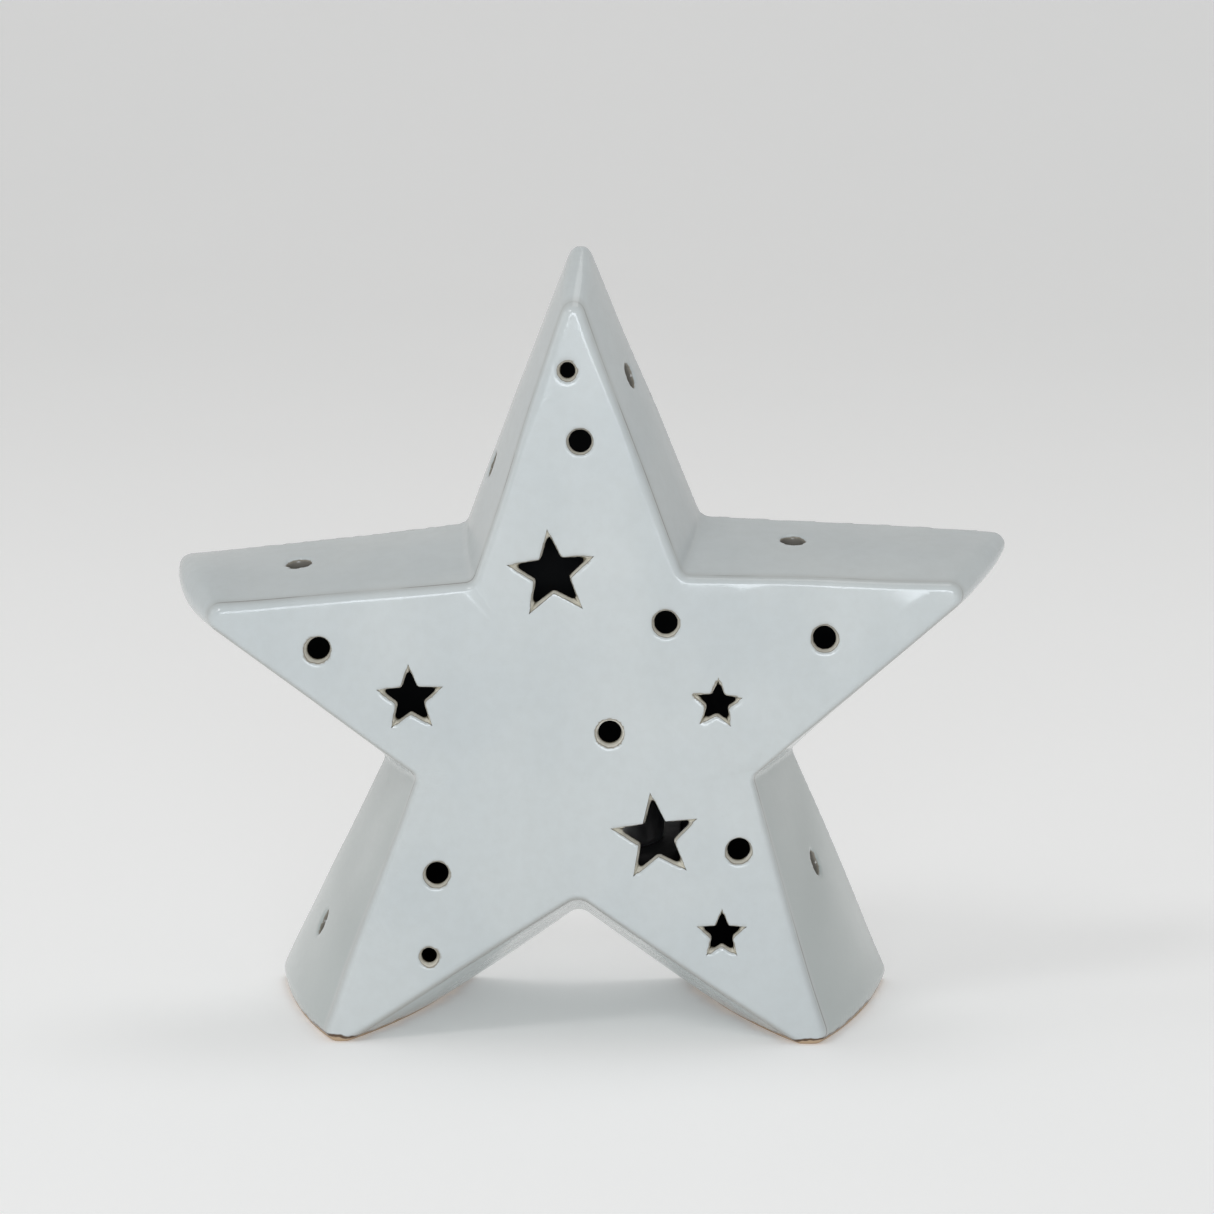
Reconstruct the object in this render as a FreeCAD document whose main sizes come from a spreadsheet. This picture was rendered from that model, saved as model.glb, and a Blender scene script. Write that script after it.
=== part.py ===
import FreeCAD, Part
import math
import os

import Sketcher
from FreeCAD import Placement, Rotation, Vector

# A hollow glazed-ceramic star that stands on two of its points and holds one tealight.
# Its face is pierced with round and star-shaped holes. Its walls flare out from the upright
# face to a back slab that leans forward, so the star is deep at the feet and thin at the top.
# The tealight goes in through a doorway low in the back slab and stands on a shelf inside.
#
# Frame: millimetres, +Z up, the face looks along -Y, origin on the ground under the middle.

CORNERS = ("top", "right_notch", "right_arm", "right_waist", "right_foot",
           "crotch", "left_foot", "left_waist", "left_arm", "left_notch")

# Sharp corners of the hand-cut star, as (across, up). The feet are drawn past the ground,
# which later cuts them flat.
FACE_CORNERS = {
    "top": (-3.5, 188),
    "right_notch": (23.5, 117),
    "right_arm": (96.5, 115.5),
    "right_waist": (40, 67.5),
    "right_foot": (61.5, -5.5),
    "crotch": (-2, 38),
    "left_foot": (-67.5, -4.5),
    "left_waist": (-41.5, 67.5),
    "left_arm": (-98.5, 109),
    "left_notch": (-28, 115),
}
# The same corners on the back slab, where up is measured along the leaning slab.
BACK_CORNERS = {
    "top": (-2, 208.5),
    "right_notch": (28, 132),
    "right_arm": (109, 127.5),
    "right_waist": (52, 67.5),
    "right_foot": (101, -56),
    "crotch": (-4, 21.5),
    "left_foot": (-110, -54.5),
    "left_waist": (-53.5, 65),
    "left_arm": (-109, 120.5),
    "left_notch": (-31.5, 130),
}
# Round holes in the face: (across, up, which drill).
ROUND_HOLES = {
    "tip_small": (-4.5, 168, "small_hole"),
    "tip_large": (-1.5, 151, "large_hole"),
    "right_shoulder": (19.5, 106, "large_hole"),
    "right_palm": (58.5, 102.5, "large_hole"),
    "left_palm": (-66.5, 99, "large_hole"),
    "middle": (5.5, 78.5, "large_hole"),
    "right_hip": (37.5, 49, "large_hole"),
    "left_hip": (-37, 43, "large_hole"),
    "left_ankle": (-39, 22, "small_hole"),
}
# Star-shaped holes in the face: (across, up, tilt to the left in degrees, which cutter).
STAR_HOLES = {
    "chest_star": (-8.5, 118, 6, "large_star"),
    "left_star": (-43.5, 87, 3, "middle_star"),
    "right_star": (32, 86, -4, "small_star"),
    "belly_star": (17, 52.5, 7, "large_star"),
    "ankle_star": (33.5, 28, 0, "small_star"),
}
# One round hole in six of the walls: the two corners that the wall runs between, how far
# along it the hole is, and how far back from the face, both as fractions.
WALL_HOLES = (
    ("left_arm", "left_notch", 0.42, 0.57),
    ("right_notch", "right_arm", 0.32, 0.61),
    ("top", "right_notch", 0.43, 0.61),
    ("left_notch", "top", 0.25, 0.74),
    ("left_foot", "left_waist", 0.55, 0.56),
    ("right_waist", "right_foot", 0.28, 0.53),
)

SIZES = {
    "base_depth": 70.8,         # face to back, on the ground
    "lean": 14,                 # degrees that the back slab leans forward
    "wall": 4,                  # thickness of the face and walls
    "slab": 4.5,                # thickness of the back slab
    "large_hole": 6.8,          # diameters at the outer surface
    "small_hole": 5.0,
    "hole_taper": 1.5,          # how much narrower each round hole is at its inner end
    "large_star": 11.2,         # centre to point at the outer surface
    "middle_star": 8.6,
    "small_star": 6.5,
    "star_waist": 0.42,         # a cutter's inner corners, as a part of its points' radius
    "star_taper": 0.85,         # the star at the inner end of the hole, as a part of the outer
    "cutter_margin": 2,         # how far each cutter runs past the wall
    "door_width": 48,
    "door_height": 20.5,
    "door_corner": 8,
    "shelf_top": 46,
    "shelf_thickness": 8,
    "shelf_width": 46,
    "shelf_setback": 11,        # shelf's front edge behind the outside of the face
    "shelf_corner": 7,
    "light_setback": 31,        # tealight's centre behind the outside of the face
    "light_gap": 0.15,          # free play under the tealight
    "cup_diameter": 38,
    "cup_height": 15.5,
    "cup_foil": 0.4,
    "cup_rim": 0.5,             # radius of the rolled rim
    "cup_heel": 1.4,            # rounding of the cup's bottom edge
    "wax_height": 12,
    "sustainer_diameter": 15,
    "sustainer_foil": 0.4,
    "collar_diameter": 3.2,
    "collar_height": 3,
    "wick_diameter": 1.6,
    "wick_length": 17.5,
}
# Radii of the star's glazed edges. Each corner's edge runs from the face to the back.
CORNER_RADII = {
    "top": 2.8,
    "left_arm": 3.3,
    "right_arm": 3.3,
    "left_notch": 3,
    "right_notch": 3,
    "left_waist": 2,
    "right_waist": 2,
    "crotch": 5,
    "outer_foot": 3,
    "inner_foot": 4,
    "face": 2,
}
REACH = 300                     # a length that is safely larger than the whole star
TOUCH = 1e-3                    # points nearer than this lie on the same face


def add_sheet(doc):
    """Put every driving dimension in one spreadsheet, a named cell each."""
    cells = dict(SIZES)
    for prefix, corners in (("face", FACE_CORNERS), ("back", BACK_CORNERS)):
        for corner, (across, up) in corners.items():
            cells[f"{prefix}_{corner}_across"] = across
            cells[f"{prefix}_{corner}_up"] = up
    for name, hole in {**ROUND_HOLES, **STAR_HOLES}.items():
        cells[f"{name}_across"] = hole[0]
        cells[f"{name}_up"] = hole[1]
    for name, radius in CORNER_RADII.items():
        cells[f"{name}_radius"] = radius
    sheet = doc.addObject("Spreadsheet::Sheet", "dims")
    for row, (name, value) in enumerate(cells.items(), start=1):
        sheet.set(f"A{row}", name)
        sheet.set(f"B{row}", str(value))
        sheet.setAlias(f"B{row}", name)
    doc.recompute()
    return sheet


def add_outline(doc, name, points):
    """Closed polygon sketch; points are (corner name, x expression, y expression)."""
    sketch = doc.addObject("Sketcher::SketchObject", name)
    count = len(points)
    for index in range(count):
        angle = 2 * math.pi * index / count
        following = 2 * math.pi * (index + 1) / count
        start = Vector(math.sin(angle), math.cos(angle), 0)
        end = Vector(math.sin(following), math.cos(following), 0)
        sketch.addGeometry(Part.LineSegment(start, end), False)
    for index in range(count):
        sketch.addConstraint(Sketcher.Constraint("Coincident", index, 2, (index + 1) % count, 1))
    for index, (corner, across, up) in enumerate(points):
        for kind, word, expression in (("DistanceX", "across", across), ("DistanceY", "up", up)):
            place = sketch.Geometry[index].StartPoint
            value = place.x if kind == "DistanceX" else place.y
            number = sketch.addConstraint(Sketcher.Constraint(kind, -1, 1, index, 1, value))
            sketch.renameConstraint(number, f"{corner}_{word}")
            sketch.setExpression(f"Constraints.{corner}_{word}", expression)
    return sketch


def add_slab_outline(doc, prefix, depth_expression, angle_expression):
    """The star's outline on the upright face or on the leaning back."""
    points = [(corner, f"dims.{prefix}_{corner}_across", f"dims.{prefix}_{corner}_up")
              for corner in CORNERS]
    sketch = add_outline(doc, f"{prefix}_outline", points)
    sketch.Placement = Placement(Vector(0, 0, 0), Rotation(Vector(1, 0, 0), 90))
    sketch.setExpression("Placement.Base.y", depth_expression)
    sketch.setExpression("Placement.Rotation.Angle", angle_expression)
    return sketch


def add_box(doc, name, low, size):
    """A box from expressions for its low corner and its size."""
    box = doc.addObject("Part::Box", name)
    for axis, expression in zip("xyz", low):
        box.setExpression(f"Placement.Base.{axis}", expression)
    for side, expression in zip(("Length", "Width", "Height"), size):
        box.setExpression(side, expression)
    return box


def add_boolean(doc, kind, name, base, tool):
    result = doc.addObject(f"Part::{kind}", name)
    result.Base = base
    result.Tool = tool
    return result


def add_fillet(doc, name, base, radius, chosen):
    """Round the base's edges for which chosen(edge) is true."""
    doc.recompute()
    fillet = doc.addObject("Part::Fillet", name)
    fillet.Base = base
    fillet.Edges = [(number, radius, radius)
                    for number, edge in enumerate(base.Shape.Edges, start=1) if chosen(edge)]
    return fillet


def is_along(edge, direction):
    return abs(edge.tangentAt(edge.FirstParameter).dot(direction)) > 1 - TOUCH


def corner_points(sheet, prefix, inset=0.0):
    """The outline's corners in space, moved in from each side by inset."""
    lean = math.radians(sheet.lean) if prefix == "back" else 0.0
    depth = sheet.base_depth / 2 if prefix == "back" else -sheet.base_depth / 2
    flat = [Vector(sheet.get(f"{prefix}_{corner}_across"), sheet.get(f"{prefix}_{corner}_up"), 0)
            for corner in CORNERS]
    points = {}
    for index, corner in enumerate(CORNERS):
        before, here, after = flat[index - 1], flat[index], flat[(index + 1) % len(flat)]
        arriving = (here - before).normalize()
        leaving = (after - here).normalize()
        # Going clockwise, the inside is on the right of each side.
        inward = Vector(arriving.y + leaving.y, -arriving.x - leaving.x, 0)
        inward = inward * (inset * 2 / (inward.Length ** 2))
        moved = here + inward
        points[corner] = Vector(moved.x, depth - moved.y * math.sin(lean), moved.y * math.cos(lean))
    return points


def add_outer_form(doc, sheet):
    """The whole outside of the star: a ruled loft, cut flat at the ground, edges rounded."""
    face = add_slab_outline(doc, "face", "-dims.base_depth / 2", "90")
    back = add_slab_outline(doc, "back", "dims.base_depth / 2", "90 + dims.lean")
    loft = doc.addObject("Part::Loft", "star_loft")
    loft.Sections = [face, back]
    loft.Solid = True
    loft.Ruled = True
    above_ground = add_box(doc, "above_ground", (f"-{REACH} / 2", f"-{REACH} / 2", "0"),
                           (str(REACH), str(REACH), str(REACH)))
    standing = add_boolean(doc, "Common", "standing_star", loft, above_ground)
    doc.recompute()
    rounded = doc.addObject("Part::Fillet", "rounded_star")
    rounded.Base = standing
    rounded.Edges = rounded_edges(sheet, standing.Shape)
    return rounded


def rounded_edges(sheet, shape):
    """Every outside edge but the back's rim, as (number, radius, radius)."""
    face_corners = corner_points(sheet, "face")
    face_depth = -sheet.base_depth / 2
    chosen = []
    for number, edge in enumerate(shape.Edges, start=1):
        ends = [vertex.Point for vertex in edge.Vertexes]
        on_face = [point for point in ends if abs(point.y - face_depth) < TOUCH]
        if len(on_face) == 2:
            kind = "face"
        elif len(on_face) == 1:
            kind = edge_name(on_face[0], face_corners)
        else:
            continue
        radius = sheet.get(f"{kind}_radius")
        chosen.append((number, radius, radius))
    return chosen


def edge_name(point, face_corners):
    """Which corner an edge leaves the face from; the ground makes two at each foot."""
    if abs(point.z) < TOUCH:
        foot = face_corners["left_foot" if point.x < 0 else "right_foot"]
        waist = face_corners["left_waist" if point.x < 0 else "right_waist"]
        along = waist.z / (waist.z - foot.z)
        outer_x = waist.x + (foot.x - waist.x) * along
        return "outer_foot" if abs(point.x - outer_x) < TOUCH else "inner_foot"
    return min(face_corners, key=lambda corner: face_corners[corner].distanceToPoint(point))


def add_cavity(doc, sheet):
    """The space inside the walls, open at the back."""
    sections = []
    for prefix in ("face", "back"):
        points = list(corner_points(sheet, prefix, inset=sheet.wall).values())
        sections.append(Part.makePolygon(points + points[:1]))
    cavity = doc.addObject("Part::Feature", "cavity_loft")
    cavity.Shape = Part.makeLoft(sections, True, True)
    inside = add_box(doc, "inside_walls",
                     (f"-{REACH} / 2", "dims.wall - dims.base_depth / 2", "dims.wall"),
                     (str(REACH), str(REACH), str(REACH)))
    return add_boolean(doc, "Common", "cavity", cavity, inside)


def add_slab_space(doc):
    """Everything behind the inner face of the leaning back slab."""
    space = doc.addObject("Part::Box", "slab_space")
    space.Placement = Placement(Vector(0, 0, 0), Rotation(Vector(1, 0, 0), 1))
    drop = 20
    space.Length = REACH
    space.Width = REACH
    space.Height = REACH
    space.setExpression("Placement.Base.x", f"-{REACH} / 2")
    space.setExpression("Placement.Base.y",
                        f"dims.base_depth / 2 - dims.slab * cos(dims.lean * 1 deg)"
                        f" + {drop} * sin(dims.lean * 1 deg)")
    space.setExpression("Placement.Base.z",
                        f"-dims.slab * sin(dims.lean * 1 deg) - {drop} * cos(dims.lean * 1 deg)")
    space.setExpression("Placement.Rotation.Angle", "dims.lean")
    return space


def add_round_cutter(doc, name, drill):
    """A tapered plug that drills a round hole inwards through the face."""
    plug = doc.addObject("Part::Cone", f"{name}_cutter")
    plug.Placement = Placement(Vector(0, 0, 0), Rotation(Vector(1, 0, 0), -90))
    slope = "dims.hole_taper / 2 / dims.wall * dims.cutter_margin"
    plug.setExpression("Radius1", f"dims.{drill} / 2 + {slope}")
    plug.setExpression("Radius2", f"dims.{drill} / 2 - dims.hole_taper / 2 - {slope}")
    plug.setExpression("Height", "dims.wall + 2 * dims.cutter_margin")
    plug.setExpression("Placement.Base.x", f"dims.{name}_across")
    plug.setExpression("Placement.Base.y", "-dims.base_depth / 2 - dims.cutter_margin")
    plug.setExpression("Placement.Base.z", f"dims.{name}_up")
    return plug


def add_star_cutter(doc, name, tilt, cutter):
    """A tapered five-pointed plug that cuts a star inwards through the face."""
    grow = "(1 - dims.star_taper) / dims.wall * dims.cutter_margin"
    ends = (
        ("outer", f"(1 + {grow})", "-dims.base_depth / 2 - dims.cutter_margin"),
        ("inner", f"(dims.star_taper - {grow})",
         "-dims.base_depth / 2 + dims.wall + dims.cutter_margin"),
    )
    sections = []
    for end, scale, depth in ends:
        points = []
        for index in range(10):
            reach = f"dims.{cutter} * {scale}" + (" * dims.star_waist" if index % 2 else "")
            angle = 36 * index
            points.append((f"point_{index}", f"{reach} * sin({angle} deg)", f"{reach} * cos({angle} deg)"))
        sketch = add_outline(doc, f"{name}_{end}", points)
        turn = Rotation(Vector(0, -1, 0), tilt).multiply(Rotation(Vector(1, 0, 0), 90))
        sketch.Placement = Placement(Vector(0, 0, 0), turn)
        sketch.setExpression("Placement.Base.x", f"dims.{name}_across")
        sketch.setExpression("Placement.Base.y", depth)
        sketch.setExpression("Placement.Base.z", f"dims.{name}_up")
        sections.append(sketch)
    plug = doc.addObject("Part::Loft", f"{name}_cutter")
    plug.Sections = sections
    plug.Solid = True
    plug.Ruled = True
    return plug


def add_wall_cutter(doc, sheet, number, start, end, along, back):
    """A drill square to the wall between two corners."""
    face = corner_points(sheet, "face")
    rear = corner_points(sheet, "back")
    near = face[start] + (face[end] - face[start]) * along
    far = rear[start] + (rear[end] - rear[start]) * along
    along_wall = (face[end] - face[start]) * (1 - back) + (rear[end] - rear[start]) * back
    outward = along_wall.cross(far - near).normalize()
    centre = near + (far - near) * back
    drill = doc.addObject("Part::Cylinder", f"wall_hole_{number}")
    drill.setExpression("Radius", "(dims.large_hole - dims.hole_taper / 2) / 2")
    drill.setExpression("Height", "dims.wall + 2 * dims.cutter_margin")
    depth = sheet.wall + sheet.cutter_margin
    drill.Placement = Placement(centre - outward * depth, Rotation(Vector(0, 0, 1), outward))
    return drill


def add_piercing(doc, sheet):
    """All the holes of the face and walls, as one tool."""
    cutters = [add_round_cutter(doc, name, hole[2]) for name, hole in ROUND_HOLES.items()]
    cutters += [add_star_cutter(doc, name, hole[2], hole[3]) for name, hole in STAR_HOLES.items()]
    cutters += [add_wall_cutter(doc, sheet, number, *hole)
                for number, hole in enumerate(WALL_HOLES, start=1)]
    piercing = doc.addObject("Part::MultiFuse", "piercing")
    piercing.Shapes = cutters
    return piercing


def add_star_shell(doc, outer, cavity, slab_space, piercing):
    """The cast face and walls in one piece, open at the back."""
    hollow = add_boolean(doc, "Cut", "hollow_star", outer, cavity)
    open_back = add_boolean(doc, "Cut", "open_star", hollow, slab_space)
    shell = add_boolean(doc, "Cut", "star_shell", open_back, piercing)
    return shell


def add_back_plate(doc, sheet, outer, slab_space):
    """The leaning slab luted on behind, with the doorway for the tealight."""
    blank = add_boolean(doc, "Common", "plate_blank", outer, slab_space)
    door = add_box(doc, "door_box", ("-dims.door_width / 2", "0", "dims.shelf_top"),
                   ("dims.door_width", "dims.base_depth", "dims.door_height"))
    sill = sheet.shelf_top
    arch = add_fillet(doc, "doorway", door, sheet.door_corner,
                      lambda edge: is_along(edge, Vector(0, 1, 0)) and edge.CenterOfMass.z > sill + TOUCH)
    return add_boolean(doc, "Cut", "back_plate", blank, arch)


def add_shelf(doc, sheet, shell, slab_space):
    """The level tile that the tealight stands on, bedded on the crotch's ridge inside."""
    tile = add_box(doc, "shelf_tile",
                   ("-dims.shelf_width / 2", "dims.shelf_setback - dims.base_depth / 2",
                    "dims.shelf_top - dims.shelf_thickness"),
                   ("dims.shelf_width", "dims.base_depth", "dims.shelf_thickness"))
    rounded = add_fillet(doc, "rounded_tile", tile, sheet.shelf_corner,
                         lambda edge: is_along(edge, Vector(0, 0, 1)) and edge.CenterOfMass.y < 0)
    against_back = add_boolean(doc, "Cut", "shelf_to_back", rounded, slab_space)
    return add_boolean(doc, "Cut", "tealight_shelf", against_back, shell)


def add_rod(doc, name, diameter, height, base):
    """An upright cylinder on the tealight's axis; base is the height of its lower end."""
    rod = doc.addObject("Part::Cylinder", name)
    rod.setExpression("Radius", f"{diameter} / 2")
    rod.setExpression("Height", height)
    rod.setExpression("Placement.Base.y", "dims.light_setback - dims.base_depth / 2")
    rod.setExpression("Placement.Base.z", f"dims.shelf_top + dims.light_gap + {base}")
    return rod


def add_cup(doc, sheet):
    """The tealight's thin aluminium cup with a rounded heel and a rolled rim."""
    middle = sheet.shelf_top + sheet.cup_height / 2

    def is_heel(edge):
        return isinstance(edge.Curve, Part.Circle) and edge.CenterOfMass.z < middle

    blank = add_rod(doc, "cup_blank", "dims.cup_diameter", "dims.cup_height", "0")
    heel = add_fillet(doc, "cup_heel_rounding", blank, sheet.cup_heel, is_heel)
    inside = add_rod(doc, "cup_inside", "(dims.cup_diameter - 2 * dims.cup_foil)",
                     "dims.cup_height", "dims.cup_foil")
    rounded_inside = add_fillet(doc, "cup_inside_heel", inside,
                                sheet.cup_heel - sheet.cup_foil, is_heel)
    walls = add_boolean(doc, "Cut", "cup_walls", heel, rounded_inside)
    rim = doc.addObject("Part::Torus", "cup_rim")
    rim.setExpression("Radius1", "dims.cup_diameter / 2 - dims.cup_foil / 2")
    rim.setExpression("Radius2", "dims.cup_rim")
    rim.setExpression("Placement.Base.y", "dims.light_setback - dims.base_depth / 2")
    rim.setExpression("Placement.Base.z", "dims.shelf_top + dims.light_gap + dims.cup_height")
    cup = doc.addObject("Part::MultiFuse", "tealight_cup")
    cup.Shapes = [walls, rim]
    return cup, rounded_inside


def add_sustainer(doc):
    """The pressed tin disc and collar that hold the wick up."""
    disc = add_rod(doc, "sustainer_disc", "dims.sustainer_diameter", "dims.sustainer_foil",
                   "dims.cup_foil")
    collar = add_rod(doc, "sustainer_collar", "dims.collar_diameter", "dims.collar_height",
                     "dims.cup_foil")
    blank = doc.addObject("Part::MultiFuse", "sustainer_blank")
    blank.Shapes = [disc, collar]
    bore = add_rod(doc, "sustainer_bore", "dims.wick_diameter", "dims.collar_height",
                   "dims.cup_foil")
    return add_boolean(doc, "Cut", "wick_sustainer", blank, bore), blank


def add_wax(doc, cup_inside, sustainer_blank, wick):
    """The wax cast in the cup round the sustainer and the wick."""
    level = add_rod(doc, "wax_level", "dims.cup_diameter", "dims.wax_height", "dims.cup_foil")
    cast = add_boolean(doc, "Common", "wax_cast", cup_inside, level)
    core = doc.addObject("Part::MultiFuse", "wax_core")
    core.Shapes = [sustainer_blank, wick]
    return add_boolean(doc, "Cut", "tealight_wax", cast, core)


def check_and_export(doc, pieces):
    """Stop on any failed object, then write each piece to its own STEP file."""
    for item in doc.Objects:
        if "Invalid" in item.State or "Error" in item.State:
            raise RuntimeError(f"{item.Name} failed: {item.State}")
    for piece in pieces:
        piece.Label = piece.Name
        shape = piece.Shape
        if shape.isNull() or not shape.isValid() or len(shape.Solids) != 1:
            raise RuntimeError(f"{piece.Name} isn't one valid solid")
        shape.Solids[0].exportStep(f"parts/{piece.Label}.step")
        box = shape.optimalBoundingBox(False)
        print(f"{piece.Label}: {shape.Volume:.0f} mm3, x {box.XMin:.1f} to {box.XMax:.1f},"
              f" y {box.YMin:.1f} to {box.YMax:.1f}, z {box.ZMin:.1f} to {box.ZMax:.1f}")


def main():
    os.makedirs("parts", exist_ok=True)
    doc = FreeCAD.newDocument("StarTealightHolder")
    sheet = add_sheet(doc)
    outer = add_outer_form(doc, sheet)
    cavity = add_cavity(doc, sheet)
    slab_space = add_slab_space(doc)
    piercing = add_piercing(doc, sheet)
    shell = add_star_shell(doc, outer, cavity, slab_space, piercing)
    plate = add_back_plate(doc, sheet, outer, slab_space)
    shelf = add_shelf(doc, sheet, shell, slab_space)
    cup, cup_inside = add_cup(doc, sheet)
    sustainer, sustainer_blank = add_sustainer(doc)
    wick = add_rod(doc, "tealight_wick", "dims.wick_diameter", "dims.wick_length", "dims.cup_foil")
    wax = add_wax(doc, cup_inside, sustainer_blank, wick)
    doc.recompute()
    check_and_export(doc, [shell, plate, shelf, cup, wax, sustainer, wick])


main()
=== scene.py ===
import math

import bmesh
import bpy
import numpy as np
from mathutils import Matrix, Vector
from mathutils.bvhtree import BVHTree


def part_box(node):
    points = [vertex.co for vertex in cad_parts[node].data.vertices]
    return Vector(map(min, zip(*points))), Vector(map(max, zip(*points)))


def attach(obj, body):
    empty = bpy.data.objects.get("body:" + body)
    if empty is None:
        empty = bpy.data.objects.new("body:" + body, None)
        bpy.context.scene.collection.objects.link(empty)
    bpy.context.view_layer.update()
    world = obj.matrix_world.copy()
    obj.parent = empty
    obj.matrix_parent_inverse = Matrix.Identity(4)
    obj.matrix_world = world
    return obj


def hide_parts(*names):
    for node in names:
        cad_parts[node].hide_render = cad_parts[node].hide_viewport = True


# The looks of a glazed ceramic star that holds a tealight. Lengths are in metres unless a name
# ends in _MM. The face looks along -Y and +Z is up.

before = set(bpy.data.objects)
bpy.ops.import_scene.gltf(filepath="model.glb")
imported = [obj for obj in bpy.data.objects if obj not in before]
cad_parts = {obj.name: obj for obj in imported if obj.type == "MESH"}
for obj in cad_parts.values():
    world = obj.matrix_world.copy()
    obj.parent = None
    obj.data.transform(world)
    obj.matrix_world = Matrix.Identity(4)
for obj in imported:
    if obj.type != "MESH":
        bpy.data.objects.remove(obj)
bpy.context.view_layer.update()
shell_low, shell_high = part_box("star_shell")
slab_low, slab_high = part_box("back_plate")
star_low = np.minimum(shell_low, slab_low)
star_high = np.maximum(shell_high, slab_high)
SEED = 7
MM = 0.001

# How the ceramic is remade from the CAD solids.
WELD = 0.002 * MM
VOXEL = 0.55 * MM
GLAZE_ROUNDS = 5                # smoothing rounds, which give the soft edges of thick glaze
BACK_ROUNDS = 6                 # and these on top, behind the face
BACK_REACH = (6 * MM, 14 * MM)  # over this stretch behind the face they take over
RIM_ROUNDS = 2                  # fewer at the cut holes, whose rims stay crisp
RIM_REACH = (1.0 * MM, 3.0 * MM)
SMOOTHING_SHARE = 0.5           # how far one round moves a value towards its neighbours' mean
STAR_CORNERS = 10
# The star knives' cross-sections: depth behind the face, and how far the points and the inner
# corners lie out from the hole's middle, as parts of the CAD outline.
KNIFE_RINGS = ((-1.0 * MM, 1.05, 1.03), (0.2 * MM, 1.01, 0.99), (3.0 * MM, 0.76, 0.84),
               (5.5 * MM, 0.70, 0.78))
KNIFE_REACH = 6 * MM
LEAST_MOUTH_CORNERS = 20        # a filled gap with fewer corners is no hole, unless it is a star
POINT_SHARE = 0.7               # a corner beyond this part of a star's reach is one of its points
SHARP_DEGREES = 62
UNDER_SHADE = 0.5                # how strongly downward faces are darkened with clay colour, as painted shade
DOWNWARD = (0.35, 0.75)         # from sideways faces to downward ones, by their normals
SAME_SURFACE_DEGREES = 40       # a sharper edge than this bounds a hole or a rim
ALIGNED = 0.999                 # two directions count as one above this cosine
SAME_PLANE = 0.05 * MM
ON_FACE = 0.1 * MM              # this near to the face plane is on the face
SEAM_FORWARD = 1.5 * MM         # the visual seam lies this far in front of the slab's inner face
WAVE_LENGTHS_MM = (26, 70)      # the hand-made unevenness: shortest and longest wave
WAVE_COUNT = 14
WAVE_HEIGHT = 0.16 * MM
FOOT_CALM = 18 * MM             # below this height the unevenness fades, so both feet stay flat
BULGE = 0.9 * MM                # how far the walls swell outwards between the face and the slab
FOOT_BULGE = 1.4 * MM           # and how much more they swell at the feet
FOOT_HEIGHT = 45 * MM           # the feet's swell fades out by this height
LEFT_BULGE = 1.8 * MM           # and how much more at the end of the left arm,
LEFT_END = (82 * MM, 100 * MM)  # which starts this far to the left of the middle
SKIN_DEPTH = (0.5 * MM, 2 * MM)  # the swell fades out over this depth under the outside
BULGE_ROUNDS = 20
# Each of these pairs is where a fade begins and ends.
STEPS_OFF = (0.10 * MM, 0.20 * MM)     # how high the remeshing's steps may be to be taken off
STEPS_CLEAR = (1.0 * MM, 2.0 * MM)     # and how far from a hole's mouth they have to be
MOUTH_MARGIN = (0.02 * MM, 0.25 * MM)  # in a hole, the outside is nearer than the mouth by no more
INSIDE_DEPTH = (2.6 * MM, 3.2 * MM)    # deeper than this counts as inside, whatever is nearest
DEEP_INSIDE_MM = 5
BENT_SPARE = 0.25               # how readily triangles go, from 0 to 1, where the outside bends
FLAT_SPARE = 0.6                # and how much more readily where it is flat
BENT = (0.02, 0.10)             # from flat to bent, as the edge attribute
SHELL_TRIANGLES = 180_000
PLATE_TRIANGLES = 90_000


# ---------------------------------------------------------------- mesh helpers

def new_object(name, mesh):
    thing = bpy.data.objects.new(name, mesh)
    bpy.context.scene.collection.objects.link(thing)
    return thing


def welded_copy(node):
    """A CAD node's solid as one closed mesh of its own."""
    solid = bmesh.new()
    solid.from_mesh(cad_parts[node].data)
    bmesh.ops.remove_doubles(solid, verts=solid.verts, dist=WELD)
    mesh = bpy.data.meshes.new(f"{node}_welded")
    solid.to_mesh(mesh)
    solid.free()
    return new_object(f"{node}_welded", mesh)


def with_modifier(thing, kind, **settings):
    """Apply one modifier to a mesh object."""
    modifier = thing.modifiers.new(kind.lower(), kind)
    for name, value in settings.items():
        setattr(modifier, name, value)
    graph = bpy.context.evaluated_depsgraph_get()
    graph.update()
    mesh = bpy.data.meshes.new_from_object(thing.evaluated_get(graph), preserve_all_data_layers=True,
                                           depsgraph=graph)
    thing.modifiers.clear()
    thing.data = mesh


def read(collection, what, width, kind=np.float64):
    values = np.zeros(len(collection) * width, kind)
    collection.foreach_get(what, values)
    return values.reshape(-1, width) if width > 1 else values


def points_of(mesh):
    return read(mesh.vertices, "co", 3)


def set_points(mesh, points):
    mesh.vertices.foreach_set("co", points.astype(np.float32).ravel())
    mesh.update()


def set_values(mesh, name, values):
    """One number per vertex, for the materials to read."""
    attribute = mesh.attributes.get(name) or mesh.attributes.new(name, "FLOAT", "POINT")
    attribute.data.foreach_set("value", values.astype(np.float32))


def neighbour_mean(values, edges):
    """Each vertex's mean over its neighbours."""
    total = np.zeros_like(values)
    count = np.zeros(len(values))
    for here, there in ((0, 1), (1, 0)):
        if values.ndim == 1:
            total += np.bincount(edges[:, here], values[edges[:, there]], len(values))
        else:
            for axis in range(values.shape[1]):
                total[:, axis] += np.bincount(edges[:, here], values[edges[:, there], axis],
                                              len(values))
        count += np.bincount(edges[:, here], minlength=len(values))
    count = np.maximum(count, 1)
    return total / (count if values.ndim == 1 else count[:, None])


def smoothed(values, edges, rounds):
    for _ in range(rounds):
        values = values + SMOOTHING_SHARE * (neighbour_mean(values, edges) - values)
    return values


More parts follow.
